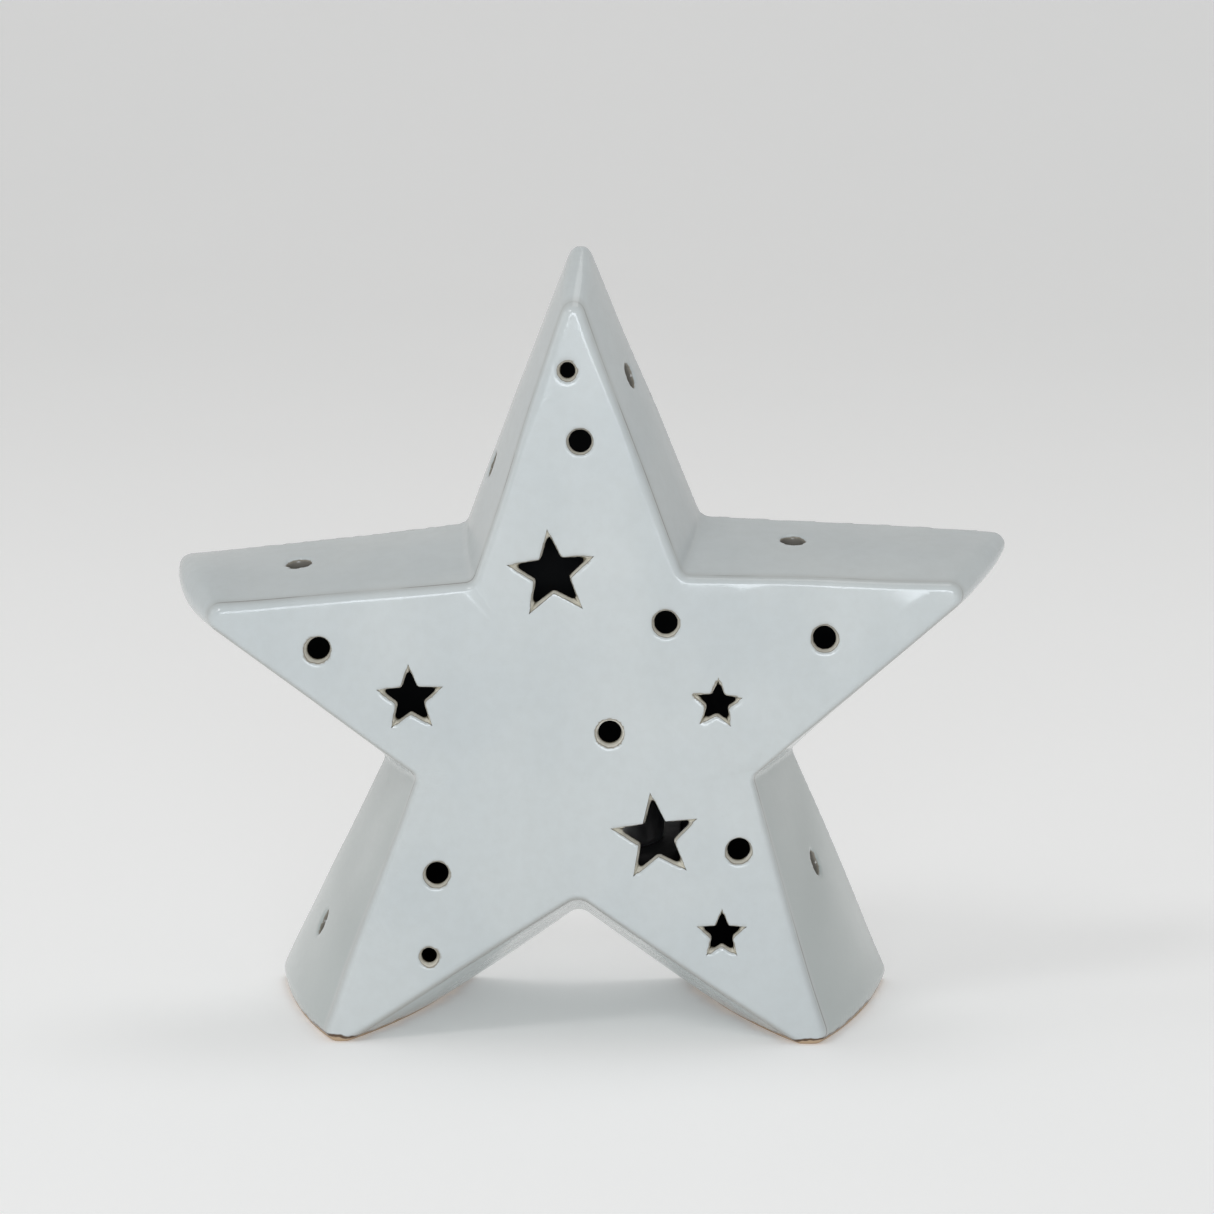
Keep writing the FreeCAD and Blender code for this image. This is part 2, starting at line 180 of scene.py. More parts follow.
def smoothstep(values, low, high):
    share = np.clip((values - low) / (high - low), 0, 1)
    return share * share * (3 - 2 * share)


def shade_smooth(mesh):
    mesh.polygons.foreach_set("use_smooth", np.ones(len(mesh.polygons), bool))


# ---------------------------------------------------------------- the ceramic star

def slab_plane():
    """A point on the back slab's inner face, and the slab's outward normal, from the CAD slab."""
    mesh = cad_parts["back_plate"].data
    normals = read(mesh.polygons, "normal", 3)
    areas = read(mesh.polygons, "area", 1)
    centres = read(mesh.polygons, "center", 3)
    facing_back = normals[:, 1] > 0.9
    outward = (normals[facing_back] * areas[facing_back, None]).sum(0)
    outward /= np.linalg.norm(outward)
    inner = np.argmax(np.where(normals @ outward < -0.99, areas, 0))
    return Vector(centres[inner]), Vector(outward)


def fused_star():
    """The shell and the slab as one closed mesh, as they are after firing."""
    shell = welded_copy("star_shell")
    slab = welded_copy("back_plate")
    with_modifier(shell, "BOOLEAN", operation="UNION", solver="EXACT", object=slab)
    bpy.data.objects.remove(slab)
    return shell


def star_loops(skin):
    """The corners of each star-shaped hole in the face, in order round the hole."""
    skin.edges.index_update()
    open_edges = {edge.index: edge for edge in skin.edges
                  if edge.is_boundary and max(end.co.y for end in edge.verts) < star_low[1] + ON_FACE}
    stars = []
    while open_edges:
        first = open_edges.pop(min(open_edges))
        corners = list(first.verts)
        while corners[-1] != corners[0]:
            edge = next(edge for edge in corners[-1].link_edges if edge.index in open_edges)
            del open_edges[edge.index]
            corners.append(edge.other_vert(corners[-1]))
        if len(corners) == STAR_CORNERS + 1:
            stars.append(corners[:-1])
    return stars


def outer_skin(mesh, outward):
    """Trees of the outside with its holes closed over and of the mouths alone, and star outlines."""
    skin = bmesh.new()
    skin.from_mesh(mesh)
    bmesh.ops.remove_doubles(skin, verts=skin.verts, dist=WELD)
    skin.normal_update()
    limit = math.radians(SAME_SURFACE_DEGREES)
    queue = []
    for direction in (Vector((0, -1, 0)), outward, Vector((0, 0, -1))):
        facing = [face for face in skin.faces if face.normal.dot(direction) > ALIGNED]
        furthest = max(face.calc_center_median().dot(direction) for face in facing)
        queue += [face for face in facing
                  if face.calc_center_median().dot(direction) > furthest - SAME_PLANE]
    outside = set(queue)
    while queue:
        face = queue.pop()
        for edge in face.edges:
            if len(edge.link_faces) == 2 and edge.calc_face_angle(math.pi) < limit:
                other = edge.link_faces[0] if edge.link_faces[1] is face else edge.link_faces[1]
                if other not in outside:
                    outside.add(other)
                    queue.append(other)
    inside = [face for face in skin.faces if face not in outside]
    bmesh.ops.delete(skin, geom=inside, context="FACES")
    rims = [edge for edge in skin.edges if edge.is_boundary]
    filled = bmesh.ops.holes_fill(skin, edges=rims, sides=0)["faces"]
    stars = star_loops(skin)
    mouths = {face for face in filled if len(face.verts) >= LEAST_MOUTH_CORNERS}
    mouths |= {skin.faces.new(corners) for corners in stars}
    stars = [[corner.co.copy() for corner in corners] for corners in stars]
    bmesh.ops.recalc_face_normals(skin, faces=skin.faces[:])
    tree = BVHTree.FromBMesh(skin)
    bmesh.ops.delete(skin, geom=[face for face in skin.faces if face not in mouths], context="FACES")
    mouth_tree = BVHTree.FromBMesh(skin)
    skin.free()
    return tree, mouth_tree, stars


def star_cutters(stars):
    """Knives that draw each star-shaped hole's points out sharp again after the glaze is rounded."""
    work = bmesh.new()
    for corners in stars:
        middle = sum(corners, Vector()) / len(corners)
        reach = max((corner - middle).length for corner in corners)
        rings = []
        for depth, point_draw, waist_draw in KNIFE_RINGS:
            ring = []
            for corner in corners:
                draw = point_draw if (corner - middle).length > POINT_SHARE * reach else waist_draw
                ring.append(work.verts.new(middle + (corner - middle) * draw + Vector((0, depth, 0))))
            rings.append(ring)
        for outer, inner in zip(rings, rings[1:]):
            for here in range(STAR_CORNERS):
                after = (here + 1) % STAR_CORNERS
                work.faces.new((outer[here], outer[after], inner[after], inner[here]))
        work.faces.new(rings[0])
        work.faces.new(rings[-1])
    bmesh.ops.recalc_face_normals(work, faces=work.faces[:])
    bmesh.ops.triangulate(work, faces=work.faces[:])
    mesh = bpy.data.meshes.new("star_knives")
    work.to_mesh(mesh)
    work.free()
    return new_object("star_knives", mesh)


def distances(tree, points):
    return np.array([tree.find_nearest(point)[3] for point in points.tolist()])


def hole_depth(depth, mouth_distance):
    """Millimetres into a hole or the inside, and nothing over the outside."""
    in_hole = 1 - smoothstep(mouth_distance - depth, *MOUTH_MARGIN)
    return np.maximum(depth * in_hole, depth * smoothstep(depth, *INSIDE_DEPTH)) / MM


def swollen(points, skin, outward, edges):
    """How far each point is from the outer skin, and the points after the walls swell outwards."""
    nearest = [skin.find_nearest(point) for point in points.tolist()]
    depth = np.array([found[3] for found in nearest])
    push = np.array([tuple(found[1]) for found in nearest]) * (1, 0, 1)
    height = points[:, 2]
    front = star_low[1]
    back = star_high[1] - height * outward.z / outward.y
    middle = (front + back) / 2
    swell = np.clip(1 - ((points[:, 1] - middle) / (back - middle)) ** 2, 0, 1)
    left_end = smoothstep(-points[:, 0], *LEFT_END)
    swell *= BULGE + FOOT_BULGE * (1 - smoothstep(height, 0, FOOT_HEIGHT)) + LEFT_BULGE * left_end
    swell *= 1 - smoothstep(depth, *SKIN_DEPTH)
    return depth, points + smoothed(push * swell[:, None], edges, BULGE_ROUNDS)


def flattened(points, skin, mouths):
    """The outside's flats freed of the remeshing's small steps; its edges and holes are left alone."""
    nearest = [skin.find_nearest(point) for point in points.tolist()]
    flat = 1 - smoothstep(np.array([found[3] for found in nearest]), *STEPS_OFF)
    flat *= smoothstep(distances(mouths, points), *STEPS_CLEAR)
    return points + (np.array([tuple(found[0]) for found in nearest]) - points) * flat[:, None]


def uneven(points):
    """The slight waves of hand-pressed clay, calmed towards the feet."""
    dice = np.random.default_rng(SEED)
    shift = np.zeros_like(points)
    shortest, longest = WAVE_LENGTHS_MM
    for _ in range(WAVE_COUNT):
        length = dice.uniform(shortest, longest) * MM
        direction = dice.normal(size=3)
        direction /= np.linalg.norm(direction)
        push = dice.normal(size=3)
        push *= WAVE_HEIGHT * (length / (longest * MM)) / np.linalg.norm(push)
        shift += np.sin(points @ direction * 2 * math.pi / length + dice.uniform(0, 7))[:, None] * push
    return points + shift * smoothstep(points[:, 2], 0, FOOT_CALM)[:, None]


def keep_inside_box(points):
    return np.clip(points, star_low, star_high)


def thin_out(thing, triangles):
    """Drop triangles inside the star, where nothing shows, before those of its outside."""
    mesh = thing.data
    depth = read(mesh.attributes["depth_mm"].data, "value", 1)
    away = read(mesh.attributes["away"].data, "value", 1)
    flat = 1 - smoothstep(np.abs(read(mesh.attributes["edge"].data, "value", 1)), *BENT)
    spare = np.where(depth > DEEP_INSIDE_MM, 1.0, away * (BENT_SPARE + FLAT_SPARE * flat))
    group = thing.vertex_groups.new(name="spare")
    for step in range(11):
        chosen = np.flatnonzero(np.round(spare * 10) == step)
        if len(chosen):
            group.add(chosen.tolist(), step / 10, "REPLACE")
    now = sum(len(face.vertices) - 2 for face in mesh.polygons)
    ratio = min(1.0, triangles / now)
    with_modifier(thing, "DECIMATE", ratio=ratio, vertex_group="spare", vertex_group_factor=1.0)


def cut_piece(name, whole, at, normal, keep_front):
    """One closed piece of the star, on one side of the seam."""
    piece = bmesh.new()
    piece.from_mesh(whole)
    result = bmesh.ops.bisect_plane(piece, geom=piece.verts[:] + piece.edges[:] + piece.faces[:],
                                    plane_co=at, plane_no=normal, dist=1e-7,
                                    clear_outer=keep_front, clear_inner=not keep_front)
    rim = [item for item in result["geom_cut"] if isinstance(item, bmesh.types.BMEdge)]
    rim = [edge for edge in rim if edge.is_boundary]
    bmesh.ops.triangle_fill(piece, edges=rim, use_beauty=True, normal=normal if keep_front else -normal)
    for edge in rim:
        edge.smooth = False
    bmesh.ops.recalc_face_normals(piece, faces=piece.faces[:])
    mesh = bpy.data.meshes.new(name)
    piece.to_mesh(mesh)
    piece.free()
    shade_smooth(mesh)
    mesh.set_sharp_from_angle(angle=math.radians(SHARP_DEGREES))
    return new_object(name, mesh)


def glaze_over(star, skin, mouths, outward):
    """Round and swell the star as thick glaze and hand-pressed clay do, and note what lies where."""
    with_modifier(star, "REMESH", mode="VOXEL", voxel_size=VOXEL, use_smooth_shade=True)
    mesh = star.data
    edges = read(mesh.edges, "vertices", 2, np.int32)
    crisp = smoothed(points_of(mesh), edges, RIM_ROUNDS)
    soft = smoothed(crisp, edges, GLAZE_ROUNDS - RIM_ROUNDS)
    behind = smoothstep(crisp[:, 1] - star_low[1], *BACK_REACH)
    soft += (smoothed(soft, edges, BACK_ROUNDS) - soft) * behind[:, None]
    away = smoothstep(distances(mouths, crisp), *RIM_REACH)
    soft = crisp + (soft - crisp) * away[:, None]
    soft = flattened(soft, skin, mouths)
    set_points(mesh, soft)
    depth, shaped = swollen(soft, skin, outward, edges)
    bend = neighbour_mean(soft, edges) - soft
    normals = read(mesh.vertex_normals, "vector", 3)
    edge = -(bend * normals).sum(1) * 4 / VOXEL ** 2 * MM
    set_values(mesh, "depth_mm", depth / MM)
    set_values(mesh, "hole_mm", hole_depth(depth, distances(mouths, soft)))
    set_values(mesh, "edge", smoothed(edge, edges, 3))
    set_values(mesh, "away", away)
    set_points(mesh, keep_inside_box(uneven(shaped)))


def sharpen_stars(star, skin, mouths, stars):
    """Cut the star-shaped holes sharp, and note how deep in a hole each vertex lies."""
    knives = star_cutters(stars)
    with_modifier(star, "BOOLEAN", operation="DIFFERENCE", solver="EXACT", object=knives)
    bpy.data.objects.remove(knives)
    cut = points_of(star.data)
    near_face = cut[:, 1] < star_low[1] + KNIFE_REACH
    hole = read(star.data.attributes["hole_mm"].data, "value", 1)
    hole[near_face] = hole_depth(distances(skin, cut[near_face]), distances(mouths, cut[near_face]))
    set_values(star.data, "depth_mm", hole)
    links = read(star.data.edges, "vertices", 2, np.int32)
    downward = -read(star.data.vertex_normals, "vector", 3)[:, 2]
    # downward faces get painted shade, read by the glaze as under
    set_values(star.data, "under", UNDER_SHADE * smoothed(smoothstep(downward, *DOWNWARD), links, 3))


def ceramic_star(glaze):
    """Make the glazed star, as its cast shell and its back slab."""
    at, outward = slab_plane()
    star = fused_star()
    skin, mouths, stars = outer_skin(star.data, outward)
    glaze_over(star, skin, mouths, outward)
    thin_out(star, SHELL_TRIANGLES + PLATE_TRIANGLES)
    sharpen_stars(star, skin, mouths, stars)
    seam = at - outward * SEAM_FORWARD
    for name, node, front in (("glazed_star_shell", "star_shell", True),
                              ("glazed_back_slab", "back_plate", False)):
        piece = cut_piece(name, star.data, seam, outward, front)
        piece.data.materials.append(glaze)
        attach(piece, "holder")
        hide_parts(node)
    bpy.data.objects.remove(star)


# ---------------------------------------------------------------- materials

class Paint:
    """A material's node tree, with short ways to add and join nodes."""

    def __init__(self, name):
        self.material = bpy.data.materials.new(name)
        self.material.use_nodes = True
        self.tree = self.material.node_tree
        self.shader = self.tree.nodes["Principled BSDF"]

    def node(self, kind, **settings):
        node = self.tree.nodes.new(kind)
        for name, value in settings.items():
            setattr(node, name, value)
        return node

    def join(self, source, target):
        self.tree.links.new(source, target)

    def put(self, target, value):
        """Set a socket to a number or colour, or link it to an output."""
        if isinstance(value, bpy.types.NodeSocket):
            self.join(value, target)
        elif hasattr(value, "__len__") and target.type == "RGBA" and len(value) == 3:
            target.default_value = (*value, 1)
        else:
            target.default_value = value

    def where(self):
        return self.node("ShaderNodeTexCoord").outputs["Object"]

    def attribute(self, name):
        return self.node("ShaderNodeAttribute", attribute_name=name).outputs["Fac"]

    def noise(self, size_mm, detail=2.0, rough=0.5, stretch=(1, 1, 1)):
        """Noise from 0 to 1 whose blotches are about size_mm across."""
        mapping = self.node("ShaderNodeMapping")
        self.put(mapping.inputs["Vector"], self.where())
        self.put(mapping.inputs["Scale"], stretch)
        noise = self.node("ShaderNodeTexNoise")
        self.put(noise.inputs["Vector"], mapping.outputs["Vector"])
        self.put(noise.inputs["Scale"], 1 / (size_mm * MM))
        self.put(noise.inputs["Detail"], detail)
        self.put(noise.inputs["Roughness"], rough)
        return noise.outputs["Fac"]

    def sum(self, kind, first, second=0.0):
        node = self.node("ShaderNodeMath", operation=kind)
        self.put(node.inputs[0], first)
        self.put(node.inputs[1], second)
        return node.outputs[0]

    def ramp(self, value, low, high, to_low=0.0, to_high=1.0):
        """value from low to high, smoothly as to_low to to_high."""
        node = self.node("ShaderNodeMapRange", interpolation_type="SMOOTHSTEP")
        for index, item in enumerate((value, low, high, to_low, to_high)):
            self.put(node.inputs[index], item)
        return node.outputs[0]

    def mix(self, share, first, second):
        node = self.node("ShaderNodeMix", data_type="RGBA")
        self.put(node.inputs["Factor"], share)
        self.put(node.inputs[6], first)
        self.put(node.inputs[7], second)
        return node.outputs[2]

    def bump(self, height, strength, distance_mm):
        node = self.node("ShaderNodeBump")
        self.put(node.inputs["Height"], height)
        self.put(node.inputs["Strength"], strength)
        self.put(node.inputs["Distance"], distance_mm * MM)
        self.join(node.outputs["Normal"], self.shader.inputs["Normal"])

    def set(self, **sockets):
        for name, value in sockets.items():
            self.put(self.shader.inputs[name.replace("_", " ")], value)


GLAZE_WHITE = (0.585, 0.618, 0.618)
GLAZE_COOL = (0.550, 0.588, 0.595)
# light upright streaks: painted highlights standing in for soft reflections on the face
GLAZE_HIGHLIGHT_STREAK = (0.9, 0.92, 0.92)
GLAZE_LEG_SHADE = (0.475, 0.515, 0.505)     # painted shade on the walls of the legs
THIN_GLAZE_AND_SHADE = (0.27, 0.245, 0.20)      # clay showing through thin glaze, and the colour of painted shade on downward faces, at hole mouths and beside the face's crease
# lighter than the glaze itself: the glazed bore's cream with painted highlight
BORE_CREAM_HIGHLIGHT = (0.86, 0.83, 0.74)
# clay deeper in the holes, darker than the bare feet as painted shade
BORE_CLAY_SHADE = (0.27, 0.24, 0.17)
WALL_BORE_SHADE = (0.23, 0.215, 0.19)       # painted shade in the holes through the side walls
BARE_CLAY = (0.50, 0.37, 0.25)
CLAY_LINE = (0.10, 0.06, 0.035)
# near-black inside the star: partly soot, mostly painted shade so the holes read black
SOOT_AND_SHADE = (0.010, 0.010, 0.011)
# painted shade along the face's crease, and the colour of the glaze's dark specks
CREASE_SHADE_AND_SPECK = (0.13, 0.115, 0.095)
# The finish, with its painted shade and highlight, changes over these depths in a hole, in millimetres.
RIM_THIN_SHADE_MM = (0.10, 0.35)
CREAM_STARTS_MM = (0.35, 0.8)
CLAY_SHADE_STARTS_MM = (2.0, 3.0)
SOOT_SHADE_STARTS_MM = (3.25, 3.7)
WALLS_BEGIN_MM = (4.4, 6.4)           # holes that lie behind this, from the face, are in the walls
LEG_SHADE_END = (0.07, 0.12)               # the legs' walls keep their painted shade up to this height
CREASE_BEHIND = 2.3 * MM               # the crease where the face turns into the walls, behind the face
SPECK_SPACING = 24 * MM
BARE_BELOW_MM = (0.9, 1.2)            # heights above the floor
LINE_BELOW_MM = (1.5, 1.9)


def clear_glaze(paint):
    """White glaze, cooler in places, with a slight mottle and faint light upright streaks that are
    painted highlights.
    """
    base = paint.mix(paint.ramp(paint.noise(45, 3), 0.35, 0.65), GLAZE_WHITE, GLAZE_COOL)
    mottle = paint.noise(3.2, 4, 0.6)
    base = paint.mix(paint.ramp(mottle, 0.3, 0.7, 0.0, 0.05), base, THIN_GLAZE_AND_SHADE)
    streaks = paint.noise(16, 1, 0.4, stretch=(1, 1, 0.16))
    return paint.mix(paint.ramp(streaks, 0.35, 0.65, 0.0, 0.05), base, GLAZE_HIGHLIGHT_STREAK)


def thinned_and_shaded(paint, base, y, z):
    """Clay shows through on sharp edges; downward faces get painted shade in the same clay colour, and
    the walls of the legs are greyer as painted shade.
    """
    edge = paint.ramp(paint.noise(5, 3), 0.3, 0.7, -0.22, 0.22)
    edge = paint.sum("ADD", paint.attribute("edge"), edge)
    # sharp edges show clay; downward faces get painted shade
    thin_and_shade = paint.sum("MAXIMUM", paint.ramp(edge, 0.75, 1.25, 0.0, 0.55), paint.attribute("under"))
    base = paint.mix(thin_and_shade, base, THIN_GLAZE_AND_SHADE)
    # painted shade: the legs' walls greyer low down
    walls = paint.ramp(y, star_low[1] + CREASE_BEHIND, star_low[1] + 2 * CREASE_BEHIND)
    leg_shade_low = paint.ramp(z, *LEG_SHADE_END, 1.0, 0.0)
    return paint.mix(paint.sum("MULTIPLY", walls, leg_shade_low), base, GLAZE_LEG_SHADE)


def pierced(paint, base, y):
    """The holes' walls: glaze thinned at the mouth with a painted shade line, cream with painted
    highlight, clay with painted shade deeper in, then near-black soot and painted shade; also gives how
    much soot and painted shade there is.
    """
    wobble = paint.ramp(paint.noise(2.5, 2), 0.3, 0.7, -0.12, 0.12)
    depth = paint.sum("ADD", paint.attribute("depth_mm"), wobble)
    # painted shade with thin glaze: a dark line just inside each hole's mouth
    base = paint.mix(paint.ramp(depth, *RIM_THIN_SHADE_MM), base, THIN_GLAZE_AND_SHADE)
    # cream with painted highlight near the mouth, then clay with painted shade deeper in
    bore = paint.mix(paint.ramp(depth, *CLAY_SHADE_STARTS_MM), BORE_CREAM_HIGHLIGHT, BORE_CLAY_SHADE)
    in_walls = paint.ramp(y, *(star_low[1] + behind * MM for behind in WALLS_BEGIN_MM))
    # painted shade in the holes through the side walls
    bore = paint.mix(in_walls, bore, WALL_BORE_SHADE)
    base = paint.mix(paint.ramp(depth, *CREAM_STARTS_MM), base, bore)
    # near-black deep inside: partly soot, mostly painted shade
    sooty_shade = paint.ramp(depth, *SOOT_SHADE_STARTS_MM)
    return paint.mix(sooty_shade, base, SOOT_AND_SHADE), sooty_shade


def crease_shaded(paint, base, y, outside):
    """Painted shade: a fine, patchy dark line along the crease where the face turns into the walls, and
    fainter shade next to it; also gives where it lies.
    """
    behind = paint.sum("SUBTRACT", y, star_low[1] + CREASE_BEHIND)
    behind = paint.sum("DIVIDE", paint.sum("ABSOLUTE", behind), MM)
    patchy = paint.ramp(paint.noise(20, 2), 0.42, 0.62, 0.1, 1.0)
    # painted shade: the dark line along the crease
    crease_shade = paint.sum("MULTIPLY", paint.ramp(behind, 0.08, 0.42, 1.0, 0.0), outside)
    crease_shade = paint.sum("MULTIPLY", crease_shade, patchy)
    # fainter painted shade next to the crease
    beside_shade = paint.sum("MULTIPLY", paint.ramp(behind, 0.0, 2.4, 0.16, 0.0), outside)
    base = paint.mix(beside_shade, base, THIN_GLAZE_AND_SHADE)
    return paint.mix(paint.sum("MULTIPLY", crease_shade, 0.55), base, CREASE_SHADE_AND_SPECK), crease_shade


def specked(paint, base, outside):
    """A few dark specks in the glaze."""
    cells = paint.node("ShaderNodeTexVoronoi", feature="F1")
    paint.join(paint.where(), cells.inputs["Vector"])
    paint.put(cells.inputs["Scale"], 1 / SPECK_SPACING)
    rare = paint.ramp(cells.outputs["Color"], 0.60, 0.62)
    specks = paint.sum("MULTIPLY", paint.ramp(cells.outputs["Distance"], 0.010, 0.018, 1.0, 0.0), rare)
    return paint.mix(paint.sum("MULTIPLY", specks, outside), base, CREASE_SHADE_AND_SPECK)


def bare_footed(paint, base, z):
    """Bare clay under the feet, with a dark line where the glaze stops; also gives where it is."""
    wobble = paint.ramp(paint.noise(7, 3), 0.3, 0.7, -0.5, 0.5)
    height = paint.sum("ADD", paint.sum("MULTIPLY", z, 1 / MM), wobble)
    bare = paint.ramp(height, *BARE_BELOW_MM, 1.0, 0.0)
    base = paint.mix(paint.ramp(height, *LINE_BELOW_MM, 1.0, 0.0), base, CLAY_LINE)
    return paint.mix(bare, base, BARE_CLAY), bare


def glaze_material():
    """Thick white glaze that thins over sharp edges and in the holes, with painted shade and highlights
    in places; bare feet; dark inside, partly soot and mostly painted shade.
    """
    paint = Paint("white_glaze")
    place = paint.node("ShaderNodeSeparateXYZ")
    paint.join(paint.where(), place.inputs[0])
    y, z = place.outputs["Y"], place.outputs["Z"]
    outside = paint.ramp(paint.attribute("depth_mm"), 0.12, 0.3, 1.0, 0.0)
    base = thinned_and_shaded(paint, clear_glaze(paint), y, z)
    base, sooty_shade = pierced(paint, base, y)
    base, crease_shade = crease_shaded(paint, base, y, outside)
    base = specked(paint, base, outside)
    base, bare = bare_footed(paint, base, z)
    matt = paint.sum("MAXIMUM", bare, sooty_shade)
    glossy = paint.ramp(paint.noise(9, 3), 0.3, 0.7, 0.10, 0.17)
    paint.set(Base_Color=base, Roughness=paint.ramp(matt, 0.0, 1.0, glossy, 0.9), IOR=1.5)
    relief = paint.sum("MULTIPLY", paint.noise(1.6, 3, 0.55), 0.014)
    relief = paint.sum("SUBTRACT", relief, paint.sum("MULTIPLY", crease_shade, 0.05))
    paint.bump(relief, 1.0, 1.0)
    return paint.material


def plain_material(name, first, second, size_mm, rough, metallic=0.0, bump=(1.0, 0.2, 0.1)):
    """A finish that varies between two colours; bump is its grain's size, strength and height."""
    paint = Paint(name)
    paint.set(Base_Color=paint.mix(paint.ramp(paint.noise(size_mm, 3), 0.35, 0.65), first, second),
              Roughness=paint.ramp(paint.noise(size_mm * 0.7, 3), 0.3, 0.7, rough[0], rough[1]),
              Metallic=metallic)
    paint.bump(paint.noise(bump[0], 4, 0.6), bump[1], bump[2])
    return paint.material


def wax_material():
    paint = Paint("candle_wax")
    paint.set(Base_Color=paint.mix(paint.ramp(paint.noise(4, 3), 0.35, 0.65),
                                   (0.86, 0.84, 0.77), (0.80, 0.77, 0.69)),
              Roughness=paint.ramp(paint.noise(3, 3), 0.3, 0.7, 0.32, 0.5))
    paint.shader.inputs["Subsurface Weight"].default_value = 0.6
    paint.shader.inputs["Subsurface Radius"].default_value = (1.0, 0.8, 0.6)
    paint.shader.inputs["Subsurface Scale"].default_value = 2.5 * MM
    paint.bump(paint.noise(2.2, 3), 0.15, 0.15)
    return paint.material


# ---------------------------------------------------------------- the tealight

TURN_STEPS = 144
TEALIGHT_LOW, TEALIGHT_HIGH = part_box("tealight_cup")
TEALIGHT_AXIS = (TEALIGHT_LOW + TEALIGHT_HIGH) / 2
CUP_RADIUS = (TEALIGHT_HIGH.x - TEALIGHT_LOW.x) / 2


def turned(name, profile, ripple=None):
    """A piece turned about the tealight's axis; profile is (radius, height) from the cup's base.

    ripple(angle, height) gives a small change of radius.
    """
    mesh = bpy.data.meshes.new(name)
    work = bmesh.new()
    rings = []
    for radius, height in profile:
        if radius < 1e-6:
            rings.append([work.verts.new((TEALIGHT_AXIS.x, TEALIGHT_AXIS.y, TEALIGHT_LOW.z + height))])
            continue
        ring = []
        for step in range(TURN_STEPS):
            angle = 2 * math.pi * step / TURN_STEPS
            reach = radius + (ripple(angle, height) if ripple else 0)
            ring.append(work.verts.new((TEALIGHT_AXIS.x + reach * math.cos(angle),
                                        TEALIGHT_AXIS.y + reach * math.sin(angle),
                                        TEALIGHT_LOW.z + height)))
        rings.append(ring)
    for low, high in zip(rings, rings[1:]):
        if len(low) == 1 and len(high) == 1:
            continue
        for step in range(TURN_STEPS):
            after = (step + 1) % TURN_STEPS
            if len(low) == 1:
                work.faces.new((low[0], high[step], high[after]))
            elif len(high) == 1:
                work.faces.new((low[step], high[0], low[after]))
            else:
                work.faces.new((low[step], high[step], high[after], low[after]))
    bmesh.ops.recalc_face_normals(work, faces=work.faces[:])
    work.to_mesh(mesh)
    work.free()
    shade_smooth(mesh)
    return new_object(name, mesh)


def arc(centre, radius, start, end, steps):
    """Points of a profile along a round, angles in degrees from the radius axis."""
    for step in range(steps + 1):
        angle = math.radians(start + (end - start) * step / steps)
        yield centre[0] + radius * math.cos(angle), centre[1] + radius * math.sin(angle)


def foil_cup(foil_material):
    """A drawn foil cup: ringed base, rounded heel, faint draw marks, rolled rim."""
    foil = 0.25 * MM
    wall = CUP_RADIUS - 0.5 * MM
    heel = 1.4 * MM
    rim = 0.5 * MM
    top = TEALIGHT_HIGH.z - TEALIGHT_LOW.z - rim
    outside = [(0, 0.35 * MM), (4.5 * MM, 0.35 * MM), (5.2 * MM, 0), (6.4 * MM, 0), (7.1 * MM, 0.35 * MM),
               (13.5 * MM, 0.35 * MM), (14.3 * MM, 0), (wall - heel, 0)]
    outside += list(arc((wall - heel, heel), heel, -80, 0, 7))
    outside += [(wall + 0.05 * MM, top * share) for share in (0.25, 0.4, 0.55, 0.7, 0.8, 0.88, 0.94)]
    outside += list(arc((wall, top), rim, -60, 170, 12))
    inside = [(wall - foil, top * share) for share in (0.94, 0.88, 0.8, 0.7, 0.55, 0.4, 0.25)]
    inside += list(arc((wall - heel, heel), heel - foil, 0, -80, 7))
    inside += [(radius, height + foil) for radius, height in reversed(outside[:7])]

    def ripple(angle, height):
        strength = max(0.0, min(1.0, (height - 2.5 * MM) / (6 * MM))) if height < top * 0.96 else 0
        wave = math.sin(52 * angle) + 0.5 * math.sin(31 * angle + 1.3) + 0.4 * math.sin(7 * angle + 0.4)
        return 0.035 * MM * wave * strength

    cup = turned("foil_cup", outside + inside, ripple)
    cup.data.materials.append(foil_material)
    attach(cup, "tealight")
    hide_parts("tealight_cup")


def wax_cake(wax):
    """The cast wax: a meniscus at the foil, a shallow hollow round the wick."""
    wall = CUP_RADIUS - 0.85 * MM
    base = 0.7 * MM
    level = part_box("tealight_wax")[1].z - TEALIGHT_LOW.z
    profile = [(0, base), (wall - 1.3 * MM, base), (wall - 0.4 * MM, base + 0.4 * MM),
               (wall, base + 1.3 * MM)]
    profile += [(wall, base + (level - base) * share) for share in (0.3, 0.5, 0.7, 0.9)]
    profile.append((wall, level + 0.6 * MM))
    for step in range(1, 24):
        reach = wall * (1 - step / 24)
        meniscus = 0.6 * MM * math.exp(-(wall - reach) / (0.5 * MM))
        hollow = -0.55 * MM * math.exp(-(reach / (4.5 * MM)) ** 2)
        collar = 0.7 * MM * math.exp(-((reach - 0.7 * MM) / (0.7 * MM)) ** 2)
        ring = 0.05 * MM * math.sin(reach / MM * 2.1)
        profile.append((reach, level + meniscus + hollow + collar + ring))
    profile.append((0, level))
    cake = turned("wax_cake", profile)
    cake.data.materials.append(wax)
    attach(cake, "tealight")
    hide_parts("tealight_wax")


def wick_line(share):
    """A point on the wick's own line; it leans a little near its tip."""
    low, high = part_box("tealight_wick")
    bend = max(0.0, share - 0.66) / 0.34
    return Vector(((low.x + high.x) / 2 + 0.9 * MM * bend ** 2,
                   (low.y + high.y) / 2 - 0.5 * MM * bend ** 2,
                   low.z + (high.z - low.z - 0.3 * MM) * share))


